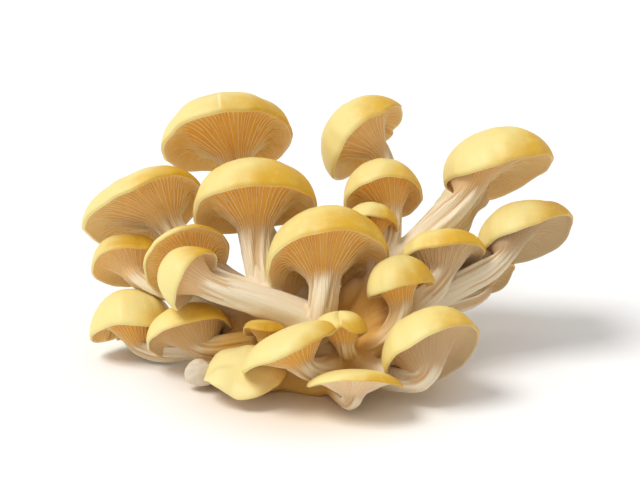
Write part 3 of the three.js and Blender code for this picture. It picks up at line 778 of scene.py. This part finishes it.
# its deep gold tone, shade and shade patches are painted shade of the recess it sits in
innerSmall = {
    "node": "mushroom_inner_small", "seed": 26,
    "cap": [-17, -16.5, 20], "lean": 32, "heading": 80, "radius": 8, "dome": 4.5,
    "lobes": [(3, 0.05, 0)], "ripples": [(3, 0.6, 90)],
    "stemAt": [0.1, 0], "stem": [2.4, 2.8], "bend": [-13, -15, 12], "foot": [0, -8, 9],
    "toneAndShade": 1, "shade": 0.5, "shadePatches": [(90, 0, 1.2, 0.6)],
}
growBody(innerSmall)

print("fruit bodies grown")


trunk = {  # the cut block that the stems are grown together in; mm unless a note says otherwise
    "node": "cut_base", "crown": (5, -2), "high": 25, "wide": (24, 26), "rows": 24, "columns": 96,
    "levels": (0, 0.05, 0.25, 0.5, 0.72, 0.88, 0.97, 1),  # shares of the height
    "widths": (0.94, 1, 0.94, 0.86, 0.74, 0.6, 0.34, 0.02),  # shares of the half widths there
    "rowCrowd": 0.8,  # power that crowds the rows towards the crown
    "folds": [(5, 0.05, 34), (3, 0.04, -57), (9, 0.02, 10)],
    "sleeveRows": 18, "sleeveColumns": 36, "flutes": 6, "flute": 0.07,
    "sink": 0.7, "sinkRun": 1.5,  # depth of a sleeve's top in its stem, and the power it sinks by
    "webs": [  # flesh between stems: two ends and a half width
        ([8, 2, 17], [18, 7, 33], 5),
        ([-34, 3, 13], [-10, 0, 15], 5.5),
    ],
    "webTaper": 0.98,  # 1 would bring their ends to a point
    "layRows": 14,
    "voxel": 0.85, "softening": (0.5, 14),  # share and times of smoothing
    "flat": 0.6,  # what is lower lies in the cut face
}


def trunkBlock(g):
    # a turned surface: rows run from the cut face's rim up the sides to the crown, as wide at each level as
    # levels and widths say, and waves round it fold it like fused stems
    angle = np.linspace(0, 2 * np.pi, g["columns"], endpoint=False)
    level = np.linspace(0, 1, g["rows"])[:, None] ** g["rowCrowd"]
    wide = np.interp(level, g["levels"], g["widths"]) * waved(g["folds"], angle, 1)
    return np.stack([g["crown"][0] * level + g["wide"][0] * wide * np.cos(angle),
                     g["crown"][1] * level + g["wide"][1] * wide * np.sin(angle),
                     g["high"] * level + 0 * angle], -1)


def lowEnd(stem, count):
    # rings along a stem from its foot up to where the trunk leaves it: how far down each one is, its centre,
    # and two directions across the stem
    down = np.linspace(1, stem["sleeve"][0], count)
    centre, way = bezier(*stem["path"], down)
    sideA = carried(np.array([1.0, 0, 0]), -way)
    return down, centre, sideA, np.cross(-way, sideA)


def sleeve(g, stem):
    # a fluted tube round the low end of a stem: it stands over it at the foot and sinks into it at the top
    down, centre, sideA, sideB = lowEnd(stem, g["sleeveRows"])
    leaves, swell = stem["sleeve"]
    climbed = (1 - down) / (1 - leaves)
    over = blend(swell, -g["sink"], climbed ** g["sinkRun"])
    wide = (blend(*stem["wide"], down) + over)[:, None, None]
    angle = np.linspace(0, 2 * np.pi, g["sleeveColumns"], endpoint=False)[:, None]
    wide = wide * (1 + g["flute"] * np.cos(g["flutes"] * angle))
    return centre[:, None] + wide * (np.cos(angle) * sideA[:, None] + np.sin(angle) * sideB[:, None])


def web(g, low, high, wide):
    # a spindle from low to high, as wide as a half circle is high, with blunt ends
    low, high = np.array(low, float), np.array(high, float)
    run = np.linspace(0, 1, g["sleeveRows"])[:, None]
    way = unit(high - low)
    sideA = unit(np.cross(way, [0, 1.0, 0]))
    angle = np.linspace(0, 2 * np.pi, g["sleeveColumns"], endpoint=False)[:, None]
    ring = np.cos(angle) * sideA + np.sin(angle) * np.cross(way, sideA)
    thick = wide * np.sqrt(1 - g["webTaper"] * (2 * run - 1) ** 2)
    return blend(low, high, run)[:, None] + thick[..., None] * ring


def trunkLay(g, points):
    # round and along the nearest stem: the cosine and sine of the turn round it, and how far down it is
    best = np.full(len(points), np.inf)
    lay = np.zeros((len(points), 3))
    each = np.arange(len(points))
    for stem in stems:
        down, centre, sideA, sideB = lowEnd(stem, g["layRows"])
        gap = points[:, None] - centre[None]
        far = np.linalg.norm(gap, axis=-1)
        at = far.argmin(1)
        off = gap[each, at]
        turn = unit(np.stack([(off * sideA[at]).sum(1), (off * sideB[at]).sum(1)], -1))
        here = np.column_stack([turn, -layRun * down[at]])
        closer = far[each, at] < best
        best = np.where(closer, far.min(1), best)
        lay = np.where(closer[:, None], here, lay)
    return lay


def growTrunk(g):
    # the block, the sleeves and the webs, melted into one skin by a voxel remesh and softened
    grids = [trunkBlock(g)] + [sleeve(g, stem) for stem in stems] + [web(g, *place) for place in g["webs"]]
    points, quads, fans, first = [], [], [], 0
    for grid in grids:
        rows, columns = grid.shape[:2]
        points.append(withEnds(grid))
        quads.append(gridFaces(rows, columns) + first)
        fans.append(endFaces(rows, columns) + first)
        first += rows * columns + 2
    piece = makePiece("baseBlock", np.concatenate(points), np.concatenate(quads), np.concatenate(fans))
    melt = piece.modifiers.new("melt", "REMESH")
    melt.mode, melt.voxel_size = "VOXEL", g["voxel"] * mm
    soften = piece.modifiers.new("soften", "SMOOTH")
    soften.factor, soften.iterations = g["softening"]
    melted = bpy.data.meshes.new_from_object(piece.evaluated_get(bpy.context.evaluated_depsgraph_get()))
    piece.modifiers.clear()
    piece.data = melted
    places = np.zeros(len(melted.vertices) * 3, np.float32)
    melted.vertices.foreach_get("co", places)
    places = places.reshape(-1, 3) / mm
    places[:, 2] = np.where(places[:, 2] < g["flat"], 0, places[:, 2])  # the cut face is flat
    melted.vertices.foreach_set("co", (places * mm).ravel())
    melted.polygons.foreach_set("use_smooth", np.ones(len(melted.polygons), bool))
    lay = trunkLay(g, places)
    # crests of the trunk's flutes; the flesh paints shade in the grooves between them
    crest = 0.5 + 0.4 * np.cos(g["flutes"] * np.arctan2(lay[:, 1], lay[:, 0]))
    setMarks(melted, {"stemDown": -lay[:, 2] / layRun, "blade": crest, "lay": lay})
    finishPiece(piece, g["node"])
    print("trunk melted:", len(melted.polygons), "faces")


growTrunk(trunk)


low, high = (np.array(corner) for corner in cadBox)
middle = (low + high) / 2

cameraPlan = {
    "lens": 100, "sensor": 36,  # mm
    "elevation": 18,  # degrees that the line of sight dips
    "distance": 0.66, "nearest": 0.01,  # m
    "aim": (-0.0024, 0.0084, -0.0031),  # m from the middle of the box
}


def placeCamera(plan):  # it stands back from the aim along a line of sight that dips by the elevation
    tilt = np.radians(plan["elevation"])
    aim = middle + np.array(plan["aim"])
    seen = np.array([0, np.cos(tilt), -np.sin(tilt)])
    data = bpy.data.cameras.new("camera")
    data.lens, data.sensor_width, data.clip_start = plan["lens"], plan["sensor"], plan["nearest"]
    camera = bpy.data.objects.new("camera", data)
    camera.location = aim - plan["distance"] * seen
    camera.rotation_euler = Vector(seen).to_track_quat("-Z", "Y").to_euler()
    bpy.context.scene.collection.objects.link(camera)
    bpy.context.scene.camera = camera


placeCamera(cameraPlan)

sunPlan = {
    "spot": (-0.58, -0.22, 1.0),  # m from the middle of the box; only its direction matters
    "softness": 28, "strength": 1.95, "colour": (1, 0.99, 0.97),  # softness is its width in degrees
}


def placeSun(plan):  # even light from a wide soft source, shining from its spot towards the middle
    data = bpy.data.lights.new("keySun", "SUN")
    data.angle, data.energy, data.color = np.radians(plan["softness"]), plan["strength"], plan["colour"]
    lamp = bpy.data.objects.new("keySun", data)
    lamp.location = middle + np.array(plan["spot"])
    lamp.rotation_euler = (-Vector(plan["spot"])).to_track_quat("-Z", "Y").to_euler()
    bpy.context.scene.collection.objects.link(lamp)


placeSun(sunPlan)

roomPlan = {"colour": (1, 1, 1, 1), "strength": 0.62}


def lightRoom(plan):  # the same light from all round
    world = bpy.data.worlds.new("paleRoom")
    world.use_nodes = True
    background = world.node_tree.nodes["Background"]
    background.inputs["Color"].default_value = plan["colour"]
    background.inputs["Strength"].default_value = plan["strength"]
    bpy.context.scene.world = world
    bpy.context.scene.view_settings.view_transform = "Standard"


lightRoom(roomPlan)

floorPlan = {  # m
    "half": 4.0, "gap": 0.0001,  # it lies this far under the cut face
    "pale": tint(250, 250, 250), "rough": 0.9, "gloss": 0.1,
    # painted shadow: a darker warm patch round the foot, with painted light thrown off the flesh
    "warmShade": tint(238, 220, 192), "shadowShare": 0.6,  # light off the flesh, round the foot
    "shadowAt": (0, -0.012), "shadowReach": 0.07, "shadowCore": 0.03,
}


# the floor is painted with a warm shadow round the foot
def layFloor(plan):  # a wide pale square, warmer by an S of how near the foot it is
    half, z = plan["half"], float(low[2]) - plan["gap"]
    mesh = bpy.data.meshes.new("floor")
    corners = [(-half, -half, z), (half, -half, z), (half, half, z), (-half, half, z)]
    mesh.from_pydata(corners, [], [(0, 1, 2, 3)])
    floor = bpy.data.objects.new("floor", mesh)
    bpy.context.scene.collection.objects.link(floor)
    p = Paint("paleFloor")
    away = p.away(p.node("ShaderNodeTexCoord", output="Object"), (*plan["shadowAt"], z))
    paintedShadow = p.range(away, plan["shadowReach"], plan["shadowCore"]) * plan["shadowShare"]
    shader = p.node("ShaderNodeBsdfPrincipled", {}, {
        "Base Color": p.mix(paintedShadow, plan["pale"], plan["warmShade"]), "Roughness": plan["rough"],
        "Specular IOR Level": plan["gloss"]})
    p.node("ShaderNodeOutputMaterial", {}, {"Surface": shader})
    mesh.materials.append(p.material)


layFloor(floorPlan)
print("studio ready")
